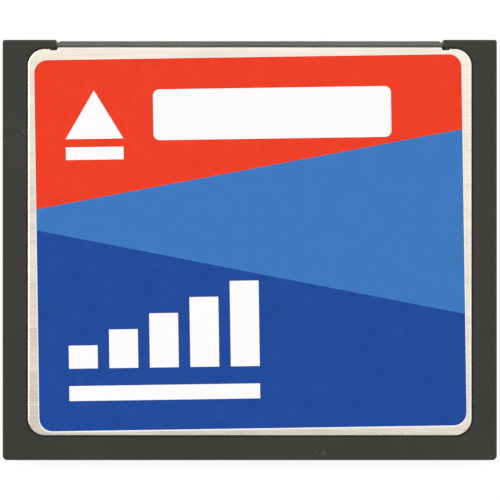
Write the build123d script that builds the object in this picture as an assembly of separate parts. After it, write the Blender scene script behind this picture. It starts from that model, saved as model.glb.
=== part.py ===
from build123d import *
from math import atan, degrees
import os

# A type I compact flash memory card, lying with its label up. Sizes are in millimetres.
# X runs across the card, +Y points at the connector edge and +Z out of the label.
# The origin is the middle of the card's underside.

# Overall card
card_width = 42.8
card_length = 36.4
card_thickness = 3.3

# Moulded frame
front_corner_radius = 0.2
rear_corner_radius = 0.4
frame_edge_chamfer = 0.12
rail_width = 2.14
rear_bar_width = 2.11
corner_strip = 0.74
ledge_width = 1.0
block_width = 4.6
block_depth = 2.4
shelf_width = 0.6

# Guide grooves in the two sides, one wide and one narrow, so that the card goes in one way up
wide_groove_height = 1.6
narrow_groove_height = 0.99
groove_depth = 1.01
groove_length = 25.78
groove_flare = 0.3

# Fingernail groove under the rear bar
nail_groove_length = 22.0
nail_groove_radius = 0.45
nail_groove_depth = 0.32
nail_groove_inset = 0.95

# Steel panels, and the film that bonds each one to the frame
panel_thickness = 0.2
panel_stand = 0.05
panel_corner_radius = 1.5
panel_edge_chamfer = 0.12
panel_clearance = 0.07
front_strip = 0.61
tongue_corner_radius = 0.3
relief_width = 0.5
relief_depth = 0.12
bond_thickness = 0.05
bond_inset = 0.5

# Printed label
film_thickness = 0.05
print_thickness = 0.03
print_inset = 0.07
print_shift = 0.04
label_side_margin = 0.715
label_rear_margin = 0.55
label_front_margin = 0.88
label_corner_radius = 1.2
label_shift = 0.06
label_skew = 0.85

# Heights at which the straight edges between the label's colours meet its left and right sides
red_edge_left = 3.2
red_edge_right = 9.6
navy_edge_left = 1.4
navy_edge_right = -6.4

# White marks left unprinted in the colours
mark_margin = 2.7
writing_strip_radius = 0.55
arrow_width = 5.0
arrow_height = 4.2
arrow_bar_height = 1.1
arrow_gap = 0.7
writing_strip_height = 4.4
writing_strip_gap = 2.6
writing_strip_end = 6.2
level_bar_count = 5
level_bar_width = 2.5
level_bar_gap = 1.0
level_bar_low = 2.0
level_bar_high = 7.4
base_line_height = 1.3
base_line_gap = 1.5

# Connector
pitch = 1.27
row_spacing = 1.27
housing_recess = 0.1
housing_depth = 5.5
housing_clearance = 0.05
lip_drop = 0.1
lip_chamfer = 0.12
lip_end_chamfer = 0.33
ear_length = 2.3
end_wall = 1.0
hole_side = 0.64
funnel_rim = 0.14
funnel_depth = 0.3
contact_width = 0.4
contact_setback = 0.6
tine_thickness = 0.12
tine_length = 3.2
contact_base_length = 0.8
tail_thickness = 0.15
tail_exit = 0.3
tail_drop_run = 0.25
tail_foot = 0.8
grip_closing = 0.05

# Circuit board
board_thickness = 0.4
board_clearance = 0.1
board_corner_chamfer = 0.5

# Memory chips
flash_count = 2
flash_body_length = 18.4
flash_lead_reach = 0.8
flash_lead_margin = 0.24
flash_gap = 0.7
flash_front_gap = 1.29

# Controller chip
controller_margin = 1.88
controller_lead_reach = 1.0
controller_lead_margin = 1.2

# Both kinds of chip
chip_headroom = 0.09
chip_standoff = 0.08
chip_edge_chamfer = 0.12
lead_pitch = 0.5
lead_width = 0.22
lead_thickness = 0.125
lead_slope_run = 0.35
board_edge_gap = 0.25

# Small parts on the board
capacitor_count = 6
capacitor_length = 1.6
capacitor_width = 0.8
resistor_count = 5
resistor_length = 1.0
resistor_width = 0.5
resistor_height = 0.35
terminal_length = 0.3
terminal_rise = 0.03
bulk_capacitor_length = 3.2
bulk_capacitor_width = 1.6
detector_length = 2.9
detector_width = 1.3
detector_lead_reach = 0.55
detector_leg_spacing = 0.95
small_part_gap = 0.9

# Largest share of a short edge that a rounding or a chamfer may take
largest_share = 0.95

# Planes across the card
side = card_width / 2
front = card_length / 2
rear = -front
panel_side = side - rail_width
panel_rear = rear + rear_bar_width
panel_front = front - front_strip
panel_shoulder = front - corner_strip
mouth_side = side - block_width
neck_side = mouth_side - housing_clearance
pocket_side = panel_side - ledge_width
pocket_rear = panel_rear + ledge_width
block_back = front - block_depth
housing_front = front - housing_recess
housing_rear = housing_front - housing_depth

# Planes through its thickness
mid_height = card_thickness / 2
film_top = card_thickness - print_thickness
panel_top = film_top - film_thickness
top_bond_top = panel_top - panel_thickness
top_ledge = top_bond_top - bond_thickness
bottom_bond_low = panel_thickness
bottom_ledge = bottom_bond_low + bond_thickness
frame_top = panel_top - panel_stand
frame_bottom = panel_stand
board_top = mid_height + board_thickness / 2
board_bottom = board_top - board_thickness

# The label, set between the edges of the top panel
label_width = 2 * (panel_side - label_side_margin)
label_rear = panel_rear + label_rear_margin
label_front = panel_front - label_front_margin
label_height = label_front - label_rear
writing_strip_start = mark_margin + arrow_width + writing_strip_gap
writing_strip_length = label_width - writing_strip_start - writing_strip_end

# The socket holes, as many as fit between the housing's end walls
funnel_side = hole_side + 2 * funnel_rim
contacts_per_row = int((2 * (neck_side - end_wall) - funnel_side) / pitch) + 1

# The board's outline, where the tails of the contacts end on it, and the height left for chips
board_side = pocket_side - board_clearance
board_rear = pocket_rear + board_clearance
board_front = housing_rear - board_clearance
tail_end = housing_rear - tail_exit - tail_drop_run - tail_foot
parts_side = board_side - board_edge_gap
parts_rear = board_rear + board_edge_gap
chip_thickness = top_ledge - chip_headroom - board_top - chip_standoff

# Memory chips, one behind the other along the board's left side
flash_span = flash_body_length + 2 * flash_lead_reach
flash_step = (tail_end - flash_front_gap + flash_gap - parts_rear) / flash_count
flash_body_width = flash_step - flash_gap
flash_leads_per_end = int((flash_body_width - 2 * flash_lead_margin) / lead_pitch) + 1
flash_x = flash_span / 2 - parts_side

# Small parts in the room beside them: capacitors behind the contacts' tails, resistors at the rear
# and the supply parts in a row before the resistors
room_left = flash_x + flash_span / 2
room_width = parts_side - room_left
room_middle = room_left + room_width / 2
detector_span = detector_width + 2 * detector_lead_reach
capacitor_row_y = tail_end - small_part_gap - capacitor_length / 2
resistor_row_y = parts_rear + resistor_length / 2
supply_row_rear = parts_rear + resistor_length + small_part_gap

# The controller, in the middle of what is left
controller_room_rear = supply_row_rear + max(bulk_capacitor_width, detector_span)
controller_room_front = capacitor_row_y - capacitor_length / 2
controller_room = min(room_width, controller_room_front - controller_room_rear)
controller_span = controller_room - 2 * controller_margin
controller_body_side = controller_span - 2 * controller_lead_reach
controller_leads_per_side = int((controller_body_side - 2 * controller_lead_margin) / lead_pitch) + 1
controller_place = Pos(room_middle, (controller_room_rear + controller_room_front) / 2, board_top)


def outline(half_width, rear_y, front_y):
    """A plain rectangle in plan, centred on X."""
    return Pos(0, (rear_y + front_y) / 2) * Rectangle(2 * half_width, front_y - rear_y)


def prism(face, low, high):
    """The face raised from one height to another."""
    return Pos(0, 0, low) * extrude(face, amount=high - low)


def on_yz(points, x, width):
    """A closed profile given as (y, z) points, made width thick about the plane at x."""
    face = make_face(Polyline(*[(x, y, z) for y, z in points], close=True))
    return extrude(face, amount=width / 2, dir=(1, 0, 0), both=True)


# Frame


def frame_block():
    """The frame's outer form, with square front corners, rounder rear ones and softened edges."""
    plan = outline(side, rear, front)
    plan = fillet(plan.vertices().sort_by(Axis.Y)[:2], rear_corner_radius)
    plan = fillet(plan.vertices().sort_by(Axis.Y)[-2:], front_corner_radius)
    block = prism(plan, frame_bottom, frame_top)
    flat_faces = block.faces().filter_by(Axis.Z)
    return chamfer(flat_faces.edges(), frame_edge_chamfer)


def panel_body_outline(grow=0.0):
    """A panel's rounded outline without its tongue, grown outwards for the recess that takes it."""
    height = panel_shoulder - panel_rear + 2 * grow
    face = RectangleRounded(2 * (panel_side + grow), height, panel_corner_radius + grow)
    return Pos(0, (panel_rear + panel_shoulder) / 2) * face


def guide_groove(height, hand):
    """One side's groove, open at the connector edge, where its mouth flares. hand is -1 or 1."""
    edge = hand * side
    floor = hand * (side - groove_depth)
    plan = Pos((edge + floor) / 2, front - groove_length / 2) * Rectangle(groove_depth, groove_length)
    low = mid_height - height / 2
    channel = prism(plan, low, low + height)
    mouth = [
        (front - groove_flare, low),
        (front, low - groove_flare),
        (front, low + height + groove_flare),
        (front - groove_flare, low + height),
    ]
    return channel + on_yz(mouth, (edge + floor) / 2, groove_depth)


def nail_groove():
    """A round-bottomed groove across the underside of the rear bar."""
    centre_height = frame_bottom + nail_groove_depth - nail_groove_radius
    bar = Rot(0, 90, 0) * Cylinder(nail_groove_radius, nail_groove_length)
    return Pos(0, rear + nail_groove_inset, centre_height) * bar


def make_side_frame():
    """One moulding: two side rails, the rear bar, the front corner blocks and the shelf for the board."""
    frame = frame_block()
    recess = panel_body_outline(panel_clearance)
    frame -= prism(recess, top_ledge, card_thickness)
    frame -= prism(recess, 0, bottom_ledge)
    frame -= prism(outline(pocket_side, pocket_rear, block_back), board_bottom, card_thickness)
    well = outline(pocket_side - shelf_width, pocket_rear + shelf_width, block_back)
    frame -= prism(well, 0, card_thickness)
    behind_blocks = outline(pocket_side, board_front, block_back)
    frame -= prism(behind_blocks, 0, card_thickness)
    mouth = outline(mouth_side, block_back, front + block_depth)
    frame -= prism(mouth, 0, card_thickness)
    frame -= guide_groove(wide_groove_height, -1)
    frame -= guide_groove(narrow_groove_height, 1)
    frame -= nail_groove()
    return frame


# Panels and bonding films


def panel_outline():
    """A panel's whole outline, with a tongue forward over the connector and a relief at each step."""
    tongue_side = mouth_side - panel_clearance
    tongue = outline(tongue_side, panel_shoulder - panel_corner_radius, panel_front)
    tongue_height = panel_front - panel_shoulder
    corner_radius = min(tongue_corner_radius, largest_share * (tongue_height + relief_depth))
    tongue = fillet(tongue.vertices().sort_by(Axis.Y)[-2:], corner_radius)
    face = panel_body_outline() + tongue
    for hand in (-1, 1):
        middle = hand * (tongue_side + relief_width / 2)
        face -= Pos(middle, panel_shoulder) * Rectangle(relief_width, 2 * relief_depth)
    return face


def make_top_panel():
    """Stamped steel cover whose upper rim is rolled over by the punch."""
    panel = prism(panel_outline(), top_bond_top, panel_top)
    return chamfer(panel.faces().sort_by(Axis.Z)[-1].edges(), panel_edge_chamfer)


def make_bottom_panel():
    """The same stamping on the underside, with its rolled rim facing down."""
    panel = prism(panel_outline(), 0, panel_thickness)
    return chamfer(panel.faces().sort_by(Axis.Z)[0].edges(), panel_edge_chamfer)


def bond_film(low):
    """A plain film a little smaller than the panel that it holds down."""
    face = outline(panel_side - bond_inset, panel_rear + bond_inset, panel_shoulder - bond_inset)
    return prism(face, low, low + bond_thickness)


# Label


def label_outline(inset=0.0):
    """The label's rounded outline in its own frame, shrunk for the print that it carries."""
    return RectangleRounded(
        label_width - 2 * inset, label_height - 2 * inset, label_corner_radius - inset
    )


def on_label(face, low, high):
    """A flat shape in the label's own frame, raised and set in place with the label's slight skew."""
    place = Location((label_shift, (label_rear + label_front) / 2, 0), (0, 0, label_skew))
    return place * prism(face, low, high)


def printed_area():
    """All that carries ink: just inside the film's edge, and printed a little too far forward."""
    return Pos(0, print_shift) * label_outline(print_inset) - white_marks()


def make_label_film():
    """White film whose bare areas are level with the ink round them."""
    film = on_label(label_outline(), panel_top, film_top)
    bare = on_label(label_outline() - printed_area(), film_top, card_thickness)
    return film + bare


def colour_field(low_left, low_right, high_left, high_right):
    """The ink between two straight edges, each given by its height at the label's two sides."""
    half = label_width / 2
    corners = [(-half, low_left), (half, low_right), (half, high_right), (-half, high_left)]
    between = make_face(Polyline(*corners, close=True))
    return on_label(printed_area() & between, film_top, card_thickness)


def insertion_arrow():
    """A triangle above a bar, pointing at the connector edge."""
    left = -label_width / 2 + mark_margin
    top = label_height / 2 - mark_margin
    middle = left + arrow_width / 2
    shoulder = top - arrow_height
    triangle = make_face(
        Polyline(
            (left, shoulder),
            (left + arrow_width, shoulder),
            (middle, top),
            close=True,
        )
    )
    bar_middle = shoulder - arrow_gap - arrow_bar_height / 2
    bar = Pos(middle, bar_middle) * Rectangle(arrow_width, arrow_bar_height)
    return triangle + bar


def writing_strip():
    """A blank strip to write on, level with the arrow's top."""
    left = -label_width / 2 + writing_strip_start
    top = label_height / 2 - mark_margin
    strip = RectangleRounded(writing_strip_length, writing_strip_height, writing_strip_radius)
    return Pos(left + writing_strip_length / 2, top - writing_strip_height / 2) * strip


def level_bars():
    """A row of plain bars that rise to the right above a base line."""
    left = -label_width / 2 + mark_margin
    bottom = -label_height / 2 + mark_margin
    step = level_bar_width + level_bar_gap
    row_length = level_bar_count * step - level_bar_gap
    line_place = Pos(left + row_length / 2, bottom + base_line_height / 2)
    marks = line_place * Rectangle(row_length, base_line_height)
    foot = bottom + base_line_height + base_line_gap
    rise = (level_bar_high - level_bar_low) / (level_bar_count - 1)
    for i in range(level_bar_count):
        height = level_bar_low + i * rise
        place = Pos(left + i * step + level_bar_width / 2, foot + height / 2)
        marks += place * Rectangle(level_bar_width, height)
    return marks


def white_marks():
    """Everything on the label that is left white."""
    return insertion_arrow() + writing_strip() + level_bars()


# Connector


def row_height(row):
    """Height of a row of holes; row is 1 for the upper one and -1 for the lower one."""
    return mid_height + row * row_spacing / 2


def contact_positions():
    """Middles of one row's holes across the card."""
    first = -(contacts_per_row - 1) * pitch / 2
    return [first + i * pitch for i in range(contacts_per_row)]


def pin_hole():
    """A square hole along Y with a funnel at its mouth, about the origin at the housing's front."""
    mouth = Plane.XZ * Rectangle(funnel_side, funnel_side)
    slope = degrees(atan((funnel_side - hole_side) / 2 / funnel_depth))
    funnel = extrude(mouth, amount=funnel_depth, taper=slope)
    shaft = extrude(Plane.XZ * Rectangle(hole_side, hole_side), amount=housing_depth)
    return funnel + shaft


def make_connector_housing():
    """Moulded block with two rows of square pin holes, ears behind the corner blocks and a front lip."""
    neck = outline(neck_side, housing_rear, panel_front + panel_clearance)
    ear_front = block_back - housing_clearance
    ears = outline(pocket_side - housing_clearance, ear_front - ear_length, ear_front)
    block = prism(neck + ears, bottom_ledge, top_ledge)
    lip_plan = outline(neck_side, panel_front + panel_clearance, housing_front)
    lip_length = housing_front - panel_front - panel_clearance
    end_chamfer = min(lip_end_chamfer, largest_share * lip_length)
    lip_plan = chamfer(lip_plan.vertices().sort_by(Axis.Y)[-2:], end_chamfer)
    lip = prism(lip_plan, frame_bottom + lip_drop, frame_top - lip_drop)
    front_edges = lip.faces().sort_by(Axis.Y)[-1].edges().filter_by(Axis.X)
    lip = chamfer(front_edges, lip_chamfer)
    holes = [
        Pos(x, housing_front, row_height(row)) * pin_hole()
        for row in (1, -1)
        for x in contact_positions()
    ]
    return block + lip - holes


def contact_profile(row):
    """Side view of a contact: a fork for the pin, a base held in the hole and a tail to the board."""
    tip = housing_front - contact_setback
    root = tip - tine_length
    base_end = root - contact_base_length
    half = hole_side / 2
    inner = half - tine_thickness
    bend = housing_rear - tail_exit
    foot_start = bend - tail_drop_run
    centre = row_height(row)
    foot = board_top - centre if row == 1 else centre - board_bottom
    shape = [
        (tip, half),
        (base_end, half),
        (base_end, tail_thickness - half),
        (bend, tail_thickness - half),
        (foot_start, foot + tail_thickness),
        (tail_end, foot + tail_thickness),
        (tail_end, foot),
        (foot_start, foot),
        (bend, -half),
        (tip, -half),
        (tip, grip_closing - inner),
        (root, -inner),
        (root, inner),
        (tip, inner - grip_closing),
    ]
    return [(y, centre + row * z) for y, z in shape]


def make_contacts(row):
    """One row of stamped contacts, each held between the top and bottom of its hole."""
    contact = on_yz(contact_profile(row), 0, contact_width)
    return Compound([Pos(x, 0, 0) * contact for x in contact_positions()])


# Circuit board and what is soldered to it


def make_circuit_board():
    """The board lies in the frame's pocket, on its shelf, with its front edge behind the connector."""
    face = outline(board_side, board_rear, board_front)
    face = chamfer(face.vertices(), board_corner_chamfer)
    return prism(face, board_bottom, board_top)


def chip_body(length, width):
    """Moulded package with bevelled rims, standing just off the board."""
    body = Pos(0, 0, chip_standoff + chip_thickness / 2) * Box(length, width, chip_thickness)
    return chamfer(body.faces().filter_by(Axis.Z).edges(), chip_edge_chamfer)


def gull_lead(body_half, span_half):
    """A lead along +X: down a slope from the package's side and out along the board."""
    height = chip_standoff + chip_thickness / 2
    heel = body_half + lead_slope_run
    points = [
        (body_half, height + lead_thickness / 2),
        (heel, lead_thickness),
        (span_half, lead_thickness),
        (span_half, 0),
        (heel, 0),
        (body_half, height - lead_thickness / 2),
    ]
    face = make_face(Polyline(*[(x, 0, z) for x, z in points], close=True))
    return extrude(face, amount=lead_width / 2, dir=(0, 1, 0), both=True)


def lead_rows(body_half, span_half, count, turns):
    """Rows of leads, one for each turn in degrees about the chip's middle."""
    lead = gull_lead(body_half, span_half)
    first = -(count - 1) * lead_pitch / 2
    return [
        Rot(0, 0, turn) * Pos(0, first + i * lead_pitch, 0) * lead
        for turn in turns
        for i in range(count)
    ]


def chip_component(length, width, height):
    """A small part with a ceramic middle and slightly proud metal ends, standing on z = 0."""
    middle = Box(length, width, height - terminal_rise, align=(Align.CENTER, Align.CENTER, Align.MIN))
    end = Box(
        terminal_length,
        width + 2 * terminal_rise,
        height,
        align=(Align.MIN, Align.CENTER, Align.MIN),
    )
    left = Pos(-length / 2, 0, 0) * end
    right = Pos(length / 2 - terminal_length, 0, 0) * end
    return middle + left + right


def component_row(count, y):
    """Places for a row of small parts spread over the room beside the memory chips."""
    spacing = room_width / count
    first = room_left + spacing / 2
    return [Pos(first + i * spacing, y, board_top) * Rot(0, 0, 90) for i in range(count)]


def make_bulk_capacitor():
    """Moulded storage capacitor at the left end of the supply row."""
    body = chip_component(bulk_capacitor_length, bulk_capacitor_width, chip_thickness)
    x = room_left + small_part_gap + bulk_capacitor_length / 2
    return Pos(x, supply_row_rear + bulk_capacitor_width / 2, board_top) * body


def make_voltage_detector():
    """Three-legged supply detector at the right end of the supply row."""
    body = chip_body(detector_length, detector_width)
    lead = gull_lead(detector_width / 2, detector_span / 2)
    leads = [
        Rot(0, 0, 90) * lead,
        Pos(-detector_leg_spacing, 0, 0) * Rot(0, 0, -90) * lead,
        Pos(detector_leg_spacing, 0, 0) * Rot(0, 0, -90) * lead,
    ]
    x = parts_side - small_part_gap - detector_length / 2
    return Pos(x, supply_row_rear + detector_span / 2, board_top) * (body + leads)


def solder_side_parts():
    """Chips, their leads and the small parts, by node name."""
    made = {}
    flash_body = chip_body(flash_body_length, flash_body_width)
    flash_leads = lead_rows(flash_body_length / 2, flash_span / 2, flash_leads_per_end, (0, 180))
    for i in range(flash_count):
        place = Pos(flash_x, parts_rear + flash_body_width / 2 + i * flash_step, board_top)
        made[f"flash_chip_{i + 1}"] = place * flash_body
        made[f"flash_chip_{i + 1}_leads"] = place * Compound(flash_leads)
    made["controller_chip"] = controller_place * chip_body(controller_body_side, controller_body_side)
    controller_leads = lead_rows(
        controller_body_side / 2,
        controller_span / 2,
        controller_leads_per_side,
        (0, 90, 180, 270),
    )
    made["controller_chip_leads"] = controller_place * Compound(controller_leads)
    capacitor = chip_component(capacitor_length, capacitor_width, capacitor_width)
    row = component_row(capacitor_count, capacitor_row_y)
    for number, place in enumerate(row, start=1):
        made[f"capacitor_{number}"] = place * capacitor
    resistor = chip_component(resistor_length, resistor_width, resistor_height)
    row = component_row(resistor_count, resistor_row_y)
    for number, place in enumerate(row, start=1):
        made[f"resistor_{number}"] = place * resistor
    made["bulk_capacitor"] = make_bulk_capacitor()
    made["voltage_detector"] = make_voltage_detector()
    return made


half_label = label_height / 2
parts = {
    "side_frame": make_side_frame(),
    "top_panel": make_top_panel(),
    "bottom_panel": make_bottom_panel(),
    "top_bond_film": bond_film(top_ledge),
    "bottom_bond_film": bond_film(bottom_bond_low),
    "label_film": make_label_film(),
    "label_red_field": colour_field(red_edge_left, red_edge_right, half_label, half_label),
    "label_blue_field": colour_field(navy_edge_left, navy_edge_right, red_edge_left, red_edge_right),
    "label_navy_field": colour_field(-half_label, -half_label, navy_edge_left, navy_edge_right),
    "connector_housing": make_connector_housing(),
    "upper_contacts": make_contacts(1),
    "lower_contacts": make_contacts(-1),
    "circuit_board": make_circuit_board(),
    **solder_side_parts(),
}

os.makedirs("parts", exist_ok=True)
for name, solid in parts.items():
    export_step(solid, f"parts/{name}.step")
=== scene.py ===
from math import pi, radians

import bpy
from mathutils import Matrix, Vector


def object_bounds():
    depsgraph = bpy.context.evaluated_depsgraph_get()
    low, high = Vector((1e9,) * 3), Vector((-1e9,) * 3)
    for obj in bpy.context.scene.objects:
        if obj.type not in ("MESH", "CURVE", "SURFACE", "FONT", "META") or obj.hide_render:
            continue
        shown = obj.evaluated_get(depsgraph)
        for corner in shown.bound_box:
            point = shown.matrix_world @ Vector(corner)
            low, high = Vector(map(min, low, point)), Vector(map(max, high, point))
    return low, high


# The looks of the card. The scene is in metres. The sizes written here are in millimetres, apart
# from those of the floor and the lamps. The camera looks straight down, with the connector edge at
# the top of the picture.

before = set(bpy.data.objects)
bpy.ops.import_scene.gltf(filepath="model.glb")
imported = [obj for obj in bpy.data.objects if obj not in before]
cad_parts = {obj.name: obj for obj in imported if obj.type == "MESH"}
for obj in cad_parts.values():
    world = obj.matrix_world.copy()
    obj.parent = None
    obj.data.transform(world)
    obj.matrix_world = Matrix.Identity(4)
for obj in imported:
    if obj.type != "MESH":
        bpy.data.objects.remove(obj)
cad_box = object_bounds()

MM = 0.001

# Picture: the margin at each side of the card, how far the picture's middle lies to the right of the
# card's, the lens, and the distance from which the camera sees
SIDE_MARGIN = 0.22
MIDDLE_SHIFT = 0.026
LENS = 150
SENSOR = 36
CLIP_START = 10

# Rounding of CAD edges: the gap that is closed at seams, the least angle in degrees, and the radii
SEAM_GAP = 0.002
EDGE_ANGLE = 28
FRAME_EDGE = 0.06
PANEL_EDGE = 0.03
HOUSING_EDGE = 0.03
LABEL_EDGE = 0.015
CONTACT_EDGE = 0.02

# Colours: the darker and the lighter tone between which a material varies
FRAME_BLACK = ((0.011, 0.011, 0.007), (0.019, 0.0188, 0.013))
HOUSING_GREY = ((0.098, 0.098, 0.093), (0.124, 0.124, 0.118))
CHIP_BLACK = ((0.012, 0.012, 0.012), (0.022, 0.022, 0.022))
STEEL = ((0.83, 0.76, 0.655), (0.97, 0.905, 0.775))
LABEL_WHITE = ((0.95, 0.93, 0.93), (0.98, 0.965, 0.96))
LABEL_RED = ((0.83, 0.042, 0.013), (0.86, 0.048, 0.016))
LABEL_BLUE = ((0.041, 0.178, 0.495), (0.045, 0.192, 0.525))
LABEL_NAVY = ((0.0105, 0.06, 0.308), (0.0135, 0.067, 0.332))
BOND_AMBER = ((0.34, 0.23, 0.1), (0.42, 0.3, 0.15))
CONTACT_GOLD = ((0.86, 0.58, 0.22), (0.95, 0.7, 0.32))
LEAD_TIN = ((0.6, 0.6, 0.58), (0.74, 0.73, 0.71))
MASK_GREEN = ((0.006, 0.07, 0.022), (0.012, 0.12, 0.035))
CAPACITOR_BROWN = ((0.3, 0.2, 0.12), (0.4, 0.28, 0.18))
RESISTOR_BLACK = ((0.015, 0.015, 0.016), (0.03, 0.03, 0.032))
BULK_CAPACITOR_OCHRE = ((0.42, 0.24, 0.05), (0.55, 0.33, 0.08))

# Single colours: worn steel, the threads that show through the solder mask, and tinned ends
WORN_STEEL = (0.95, 0.92, 0.85)
THREAD_GREEN = (0.02, 0.15, 0.05)
TINNED_END = (0.78, 0.77, 0.75)

# Noise: its middle, the span in which most of it lies, and the spans over which it turns into a
# fleck and into a group of flecks
NOISE_MIDDLE = 0.5
NOISE_SPAN = (0.3, 0.7)
FLECK_SPAN = (0.7, 0.76)
GROUP_SPAN = (0.55, 0.65)

# Worn edges: cosines of the lean at which a rounded normal starts to mark an edge and marks it fully
EDGE_LEAN = (0.995, 0.9)

# Plastic: how far its roughness varies each way, how much smoother its rubbed edges are, and the
# tone of its dust and the share of the plastic that the dust covers where it lies
GRAIN_ROUGHNESS = 0.06
RUB_POLISH = 0.2
DUST_TONE = 0.3
DUST_COVER = 0.2

# Solder mask: how strongly the threads colour it, and their height as a share of the copper's
THREAD_COLOUR = 0.25
THREAD_HEIGHT = 0.3

# Floor: its width and its drop below the card in metres, its own tone, and what is added to it where
# the camera, a reflection or glass sees it
FLOOR_WIDTH = 3.0
FLOOR_DROP = 0.00002
FLOOR_TONE = 0.35
FLOOR_GLOW = 0.75

# Sky: the side that is bright, and how far a direction leans that way and upwards while the light
# changes. Low down it is a share of the light above, and at the horizon it is plain white.
BRIGHT_SIDE = (0.5, 1.0, 0.0)
UP = (0.0, 0.0, 1.0)
SIDE_SPAN = (-0.18, 0.14)
SIDE_STRENGTH = (0.53, 1.14)
LOW_SPAN = (0.08, 0.45)
LOW_SHARE = (0.55, 1.0)
HORIZON_SPAN = (0.06, 0.1)
PLAIN_WHITE = 1.0

# Lamps: their width and places in metres, and the radiance of their faces
LAMP_WIDTH = 0.45
KEY_PLACE = (-0.68, 0.1, 0.6)
KEY_RADIANCE = 3.1
FILL_PLACE = (0.12, -0.66, 0.5)
FILL_RADIANCE = 1.2


class Nodes:
    """A node tree, with short ways to add to it."""

    def __init__(self, tree):
        self.tree = tree

    def node(self, kind, **values):
        """A new node with these settings."""
        made = self.tree.nodes.new(kind)
        for key, value in values.items():
            setattr(made, key, value)
        return made

    def feed(self, socket, value):
        """Links an output to the socket, or sets the socket to a plain value."""
        if isinstance(value, bpy.types.NodeSocket):
            self.tree.links.new(value, socket)
        else:
            socket.default_value = value

    def math(self, operation, a, b=0.0):
        """The result of an operation on one or two numbers."""
        node = self.node("ShaderNodeMath", operation=operation)
        self.feed(node.inputs[0], a)
        self.feed(node.inputs[1], b)
        return node.outputs["Value"]

    def dot(self, a, b):
        """How far one direction leans along another."""
        node = self.node("ShaderNodeVectorMath", operation="DOT_PRODUCT")
        self.feed(node.inputs[0], a)
        self.feed(node.inputs[1], b)
        return node.outputs["Value"]

    def ranged(self, value, span, out_span=(0.0, 1.0)):
        """The value moved smoothly from one span to another and held there."""
        node = self.node("ShaderNodeMapRange", interpolation_type="SMOOTHSTEP")
        self.feed(node.inputs["Value"], value)
        for name, limit in zip(("From Min", "From Max"), span):
            self.feed(node.inputs[name], limit)
        for name, limit in zip(("To Min", "To Max"), out_span):
            self.feed(node.inputs[name], limit)
        return node.outputs["Result"]


class Surface(Nodes):
    """A material with one shader, whose textures are measured in millimetres on the object."""

    def __init__(self, name, metallic=0.0, specular=0.5):
        self.material = bpy.data.materials.new(name)
        self.material.use_nodes = True
        super().__init__(self.material.node_tree)
        self.shader = self.tree.nodes["Principled BSDF"]
        self.feed(self.shader.inputs["Metallic"], metallic)
        self.feed(self.shader.inputs["Specular IOR Level"], specular)
        self.place = self.node("ShaderNodeTexCoord").outputs["Object"]

    def scaled(self, stretch):
        """Coordinates in millimetres, divided by the stretch along each axis."""
        mapping = self.node("ShaderNodeMapping")
        self.feed(mapping.inputs["Scale"], [1 / (MM * s) for s in stretch])
        self.feed(mapping.inputs["Vector"], self.place)
        return mapping.outputs["Vector"]

    def noise(self, size, stretch=(1, 1, 1), detail=2.0, sharpness=0.5):
        """Noise from 0 to 1, whose features are about size millimetres times the stretch.

        Detail is how many finer layers it has, and sharpness how much each of them counts.
        """
        texture = self.node("ShaderNodeTexNoise")
        self.feed(texture.inputs["Vector"], self.scaled([size * s for s in stretch]))
        self.feed(texture.inputs["Scale"], 1.0)
        self.feed(texture.inputs["Detail"], detail)
        self.feed(texture.inputs["Roughness"], sharpness)
        return texture.outputs["Fac"]

    def spread(self, noise, low, high):
        """Noise spread between two values."""
        return self.ranged(noise, NOISE_SPAN, (low, high))

    def contrasted(self, noise, reach):
        """Noise that goes from 0 to 1 within the reach round its middle."""
        return self.ranged(noise, (NOISE_MIDDLE - reach, NOISE_MIDDLE + reach))

    def blended(self, a, b, share):
        """A share of one value and the rest of another."""
        return self.math("ADD", self.math("MULTIPLY", a, share), self.math("MULTIPLY", b, 1 - share))

    def mixed(self, factor, a, b):
        """One colour turning into another with the factor."""
        node = self.node("ShaderNodeMix", data_type="RGBA")
        self.feed(node.inputs["Factor"], factor)
        self.feed(node.inputs["A"], a if isinstance(a, bpy.types.NodeSocket) else (*a, 1.0))
        self.feed(node.inputs["B"], b if isinstance(b, bpy.types.NodeSocket) else (*b, 1.0))
        return node.outputs["Result"]

    def rounded(self, radius):
        """The surface's normal, turned near sharp edges as if they were rounded."""
        node = self.node("ShaderNodeBevel", samples=8)
        self.feed(node.inputs["Radius"], radius * MM)
        return node.outputs["Normal"]

    def edges(self, radius):
        """1 along sharp edges and 0 on flat faces, from how far a rounded normal leans."""
        flat = self.node("ShaderNodeNewGeometry").outputs["True Normal"]
        return self.ranged(self.dot(self.rounded(radius), flat), EDGE_LEAN)

    def flecks(self, size, group):
        """1 on a few small flecks that lie in loose groups, and 0 elsewhere."""
        spots = self.ranged(self.noise(size, detail=1.0), FLECK_SPAN)
        return self.math("MULTIPLY", spots, self.ranged(self.noise(group), GROUP_SPAN))

    def colour(self, value):
        self.feed(self.shader.inputs["Base Color"], value)

    def roughness(self, value):
        self.feed(self.shader.inputs["Roughness"], value)

    def bump(self, height, depth, edge_radius=0.0):
        """Raises the surface by the depth where the height is 1, over edges rounded by a radius."""
        node = self.node("ShaderNodeBump")
        self.feed(node.inputs["Distance"], depth * MM)
        self.feed(node.inputs["Height"], height)
        if edge_radius:
            self.feed(node.inputs["Normal"], self.rounded(edge_radius))
        self.feed(self.shader.inputs["Normal"], node.outputs["Normal"])

    def film_waves(self):
        """The faint waviness of a film that is stuck on."""
        self.bump(self.noise(size=0.5, detail=3.0), depth=0.002)


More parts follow.
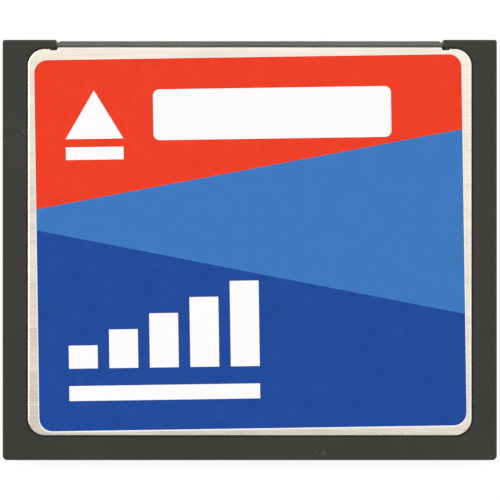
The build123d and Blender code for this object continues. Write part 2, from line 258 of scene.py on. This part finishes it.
def moulded(name, dark, light, roughness, grain, depth):
    """Moulded plastic: fine grain, faint clouds, a little dust and edges polished by handling."""
    surface = Surface(name)
    cloud = surface.noise(size=6.0, detail=3.0)
    fine = surface.noise(size=grain, detail=3.0, sharpness=0.6)
    tone = surface.contrasted(surface.blended(cloud, fine, share=0.5), reach=0.15)
    plain = surface.mixed(tone, dark, light)
    dust = [channel + DUST_COVER * (DUST_TONE - channel) for channel in light]
    surface.colour(surface.mixed(surface.flecks(size=0.3, group=5.0), plain, dust))
    rub = surface.math("MULTIPLY", surface.edges(radius=0.12), surface.noise(size=1.5, detail=4.0))
    rough = surface.spread(fine, roughness - GRAIN_ROUGHNESS, roughness + GRAIN_ROUGHNESS)
    surface.roughness(surface.math("SUBTRACT", rough, surface.math("MULTIPLY", rub, RUB_POLISH)))
    surface.bump(fine, depth)
    return surface.material


def rolled_steel(name, dark, light):
    """Cold-rolled stainless sheet: fine streaks along the card's width and a few faint scuffs."""
    surface = Surface(name, metallic=1.0)
    streak = surface.noise(size=0.12, stretch=(45, 1, 1), detail=4.0, sharpness=0.6)
    broad = surface.noise(size=0.9, stretch=(14, 1, 1), detail=2.0)
    tone = surface.blended(streak, broad, share=0.6)
    metal = surface.mixed(surface.contrasted(tone, reach=0.14), dark, light)
    patch = surface.noise(size=7.0, detail=2.0)
    wear = surface.ranged(patch, span=(0.5, 0.8), out_span=(0.0, 0.35))
    surface.colour(surface.mixed(wear, metal, WORN_STEEL))
    scratch = surface.noise(size=0.35, stretch=(5, 1.4, 1), detail=6.0, sharpness=0.7)
    scuff = surface.ranged(scratch, span=(0.62, 0.72), out_span=(0.0, 0.12))
    surface.roughness(surface.math("ADD", surface.spread(tone, low=0.24, high=0.38), scuff))
    surface.bump(streak, depth=0.002, edge_radius=0.24)
    return surface.material


def ink(name, dark, light):
    """Offset ink under a satin varnish: slight mottle, fine grain and the film's faint waviness."""
    surface = Surface(name, specular=0.1)
    mottle = surface.noise(size=1.6, detail=4.0, sharpness=0.6)
    fine = surface.noise(size=0.16, detail=2.0)
    tone = surface.contrasted(surface.blended(mottle, fine, share=0.6), reach=0.12)
    surface.colour(surface.mixed(tone, dark, light))
    surface.roughness(surface.spread(fine, low=0.37, high=0.47))
    surface.film_waves()
    return surface.material


def bare_film(name, dark, light):
    """The film's own white where nothing is printed."""
    surface = Surface(name, specular=0.3)
    surface.colour(surface.mixed(surface.noise(size=3.0, detail=3.0), dark, light))
    surface.roughness(surface.spread(surface.noise(size=0.2), low=0.4, high=0.5))
    surface.film_waves()
    return surface.material


def plated(name, dark, light, roughness):
    """Plated metal with a slightly uneven surface."""
    surface = Surface(name, metallic=1.0)
    patch = surface.noise(size=0.3, detail=4.0, sharpness=0.6)
    surface.colour(surface.mixed(surface.contrasted(patch, reach=0.15), dark, light))
    surface.roughness(surface.spread(patch, low=roughness - 0.08, high=roughness + 0.1))
    surface.bump(patch, depth=0.002)
    return surface.material


def adhesive(name, dark, light):
    """Amber bonding film, a little uneven in thickness."""
    surface = Surface(name, specular=0.4)
    patch = surface.noise(size=2.5, detail=3.0)
    surface.colour(surface.mixed(patch, dark, light))
    surface.roughness(surface.spread(patch, low=0.42, high=0.6))
    surface.bump(patch, depth=0.004)
    return surface.material


def solder_mask(name, dark, light):
    """Solder mask over glass cloth, whose threads show faintly, and over patches of copper."""
    surface = Surface(name)
    threads = []
    for direction in ("X", "Y"):
        wave = surface.node("ShaderNodeTexWave", bands_direction=direction)
        surface.feed(wave.inputs["Vector"], surface.scaled((1, 1, 1)))
        surface.feed(wave.inputs["Scale"], 0.7)
        surface.feed(wave.inputs["Distortion"], 0.4)
        threads.append(wave.outputs["Fac"])
    weave = surface.math("MAXIMUM", *threads)
    copper = surface.contrasted(surface.noise(size=2.2, detail=1.0), reach=0.02)
    mask = surface.mixed(copper, dark, light)
    surface.colour(surface.mixed(surface.math("MULTIPLY", weave, THREAD_COLOUR), mask, THREAD_GREEN))
    surface.roughness(0.35)
    height = surface.math("ADD", surface.math("MULTIPLY", weave, THREAD_HEIGHT), copper)
    surface.bump(height, depth=0.012)
    return surface.material


def ceramic(name, dark, light, axis, end_share):
    """A small part's ceramic body, with tinned ends over the end share of its length."""
    surface = Surface(name)
    split = surface.node("ShaderNodeSeparateXYZ")
    surface.feed(split.inputs["Vector"], surface.node("ShaderNodeTexCoord").outputs["Generated"])
    from_middle = surface.math("ABSOLUTE", surface.math("SUBTRACT", split.outputs[axis], 0.5))
    end = surface.math("GREATER_THAN", from_middle, 0.5 - end_share)
    fine = surface.noise(size=0.08, detail=3.0)
    surface.colour(surface.mixed(end, surface.mixed(fine, dark, light), TINNED_END))
    surface.feed(surface.shader.inputs["Metallic"], end)
    surface.roughness(surface.spread(fine, low=0.32, high=0.48))
    surface.bump(fine, depth=0.004)
    return surface.material


def dress(material, *names):
    """Gives the named CAD nodes this material."""
    for name in names:
        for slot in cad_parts[name].material_slots:
            slot.material = material


def soften(radius, *names, segments=2):
    """Joins the faces of CAD nodes at their seams and rounds their edges by the radius."""
    for name in names:
        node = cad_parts[name]
        weld = node.modifiers.new("weld", "WELD")
        weld.merge_threshold = SEAM_GAP * MM
        bevel = node.modifiers.new("edge", "BEVEL")
        bevel.width = radius * MM
        bevel.segments = segments
        bevel.limit_method = "ANGLE"
        bevel.angle_limit = radians(EDGE_ANGLE)
        bevel.harden_normals = True


def numbered(stem):
    """The CAD nodes whose names begin with the stem, without the leads of chips."""
    return [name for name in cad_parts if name.startswith(stem) and not name.endswith("_leads")]


def camera_white(nodes, strength):
    """A strength that is added only where the camera, a reflection or glass sees the surface."""
    path = nodes.node("ShaderNodeLightPath")
    seen = path.outputs["Is Camera Ray"]
    for other in ("Is Glossy Ray", "Is Transmission Ray"):
        seen = nodes.math("MAXIMUM", seen, path.outputs[other])
    return nodes.math("MULTIPLY", seen, strength)


def make_floor():
    """A white floor just below the card, which keeps the card's shadow."""
    bpy.ops.mesh.primitive_plane_add(size=FLOOR_WIDTH, location=(0, 0, -FLOOR_DROP))
    floor = bpy.context.object
    floor.name = "floor"
    surface = Surface("floor_white", specular=0.0)
    surface.colour((FLOOR_TONE, FLOOR_TONE, FLOOR_TONE, 1))
    surface.roughness(0.9)
    surface.feed(surface.shader.inputs["Emission Color"], (1, 1, 1, 1))
    surface.feed(surface.shader.inputs["Emission Strength"], camera_white(surface, FLOOR_GLOW))
    floor.data.materials.append(surface.material)


def make_world():
    """Soft sky, brighter towards the front right, dimmer low down and plain white at the horizon."""
    world = bpy.data.worlds.new("studio")
    bpy.context.scene.world = world
    world.use_nodes = True
    nodes = Nodes(world.node_tree)
    background = nodes.tree.nodes["Background"]
    nodes.feed(background.inputs["Color"], (1, 1, 1, 1))
    direction = nodes.node("ShaderNodeTexCoord").outputs["Generated"]
    sky = nodes.ranged(nodes.dot(direction, BRIGHT_SIDE), SIDE_SPAN, SIDE_STRENGTH)
    height = nodes.dot(direction, UP)
    low = nodes.ranged(height, LOW_SPAN, LOW_SHARE)
    level = nodes.node("ShaderNodeMix")
    nodes.feed(level.inputs["Factor"], nodes.ranged(height, HORIZON_SPAN, (1.0, 0.0)))
    nodes.feed(level.inputs["A"], nodes.math("MULTIPLY", sky, low))
    nodes.feed(level.inputs["B"], PLAIN_WHITE)
    nodes.feed(background.inputs["Strength"], level.outputs["Result"])


def add_softbox(name, place, radiance):
    """A square area light aimed at the card, with about the given radiance on its face."""
    data = bpy.data.lights.new(name, "AREA")
    data.shape = "SQUARE"
    data.size = LAMP_WIDTH
    data.energy = radiance * pi * LAMP_WIDTH**2
    lamp = bpy.data.objects.new(name, data)
    bpy.context.scene.collection.objects.link(lamp)
    lamp.location = place
    lamp.rotation_euler = (-Vector(place)).to_track_quat("-Z", "Y").to_euler()


def make_camera():
    """Looks straight down, from where the picture spans the card's top and the side margins."""
    data = bpy.data.cameras.new("camera")
    data.lens = LENS
    data.sensor_width = SENSOR
    data.clip_start = CLIP_START * MM
    camera = bpy.data.objects.new("camera", data)
    bpy.context.scene.collection.objects.link(camera)
    low, high = cad_box
    middle = (low + high) / 2
    view_width = high.x - low.x + 2 * SIDE_MARGIN * MM
    camera.location = (middle.x + MIDDLE_SHIFT * MM, middle.y, high.z + view_width * LENS / SENSOR)
    bpy.context.scene.camera = camera


# Materials
frame_plastic = moulded("frame_plastic", *FRAME_BLACK, roughness=0.5, grain=0.09, depth=0.006)
dress(frame_plastic, "side_frame")
housing_plastic = moulded("connector_plastic", *HOUSING_GREY, roughness=0.48, grain=0.06, depth=0.003)
dress(housing_plastic, "connector_housing")
dress(rolled_steel("panel_steel", *STEEL), "top_panel", "bottom_panel")
dress(bare_film("label_white", *LABEL_WHITE), "label_film")
dress(ink("label_red", *LABEL_RED), "label_red_field")
dress(ink("label_blue", *LABEL_BLUE), "label_blue_field")
dress(ink("label_navy", *LABEL_NAVY), "label_navy_field")
dress(adhesive("bond_film", *BOND_AMBER), "top_bond_film", "bottom_bond_film")
dress(plated("contact_gold", *CONTACT_GOLD, roughness=0.28), "upper_contacts", "lower_contacts")
leads = [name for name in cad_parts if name.endswith("_leads")]
dress(plated("lead_tin", *LEAD_TIN, roughness=0.38), *leads)
dress(solder_mask("board_green", *MASK_GREEN), "circuit_board")
chip_plastic = moulded("chip_plastic", *CHIP_BLACK, roughness=0.6, grain=0.07, depth=0.005)
dress(chip_plastic, "controller_chip", "voltage_detector", *numbered("flash_chip"))
capacitor = ceramic("capacitor_ceramic", *CAPACITOR_BROWN, axis="Y", end_share=0.19)
dress(capacitor, *numbered("capacitor_"))
resistor = ceramic("resistor_ceramic", *RESISTOR_BLACK, axis="Y", end_share=0.3)
dress(resistor, *numbered("resistor_"))
bulk_capacitor = ceramic("bulk_capacitor_ceramic", *BULK_CAPACITOR_OCHRE, axis="X", end_share=0.095)
dress(bulk_capacitor, "bulk_capacitor")

# Edges
soften(FRAME_EDGE, "side_frame")
soften(PANEL_EDGE, "top_panel", "bottom_panel")
soften(HOUSING_EDGE, "connector_housing")
soften(LABEL_EDGE, "label_film", segments=1)
soften(CONTACT_EDGE, "upper_contacts", "lower_contacts", segments=1)

# Stage
make_floor()
make_world()
add_softbox("key", KEY_PLACE, KEY_RADIANCE)
add_softbox("fill", FILL_PLACE, FILL_RADIANCE)
make_camera()
bpy.context.scene.view_settings.view_transform = "Standard"
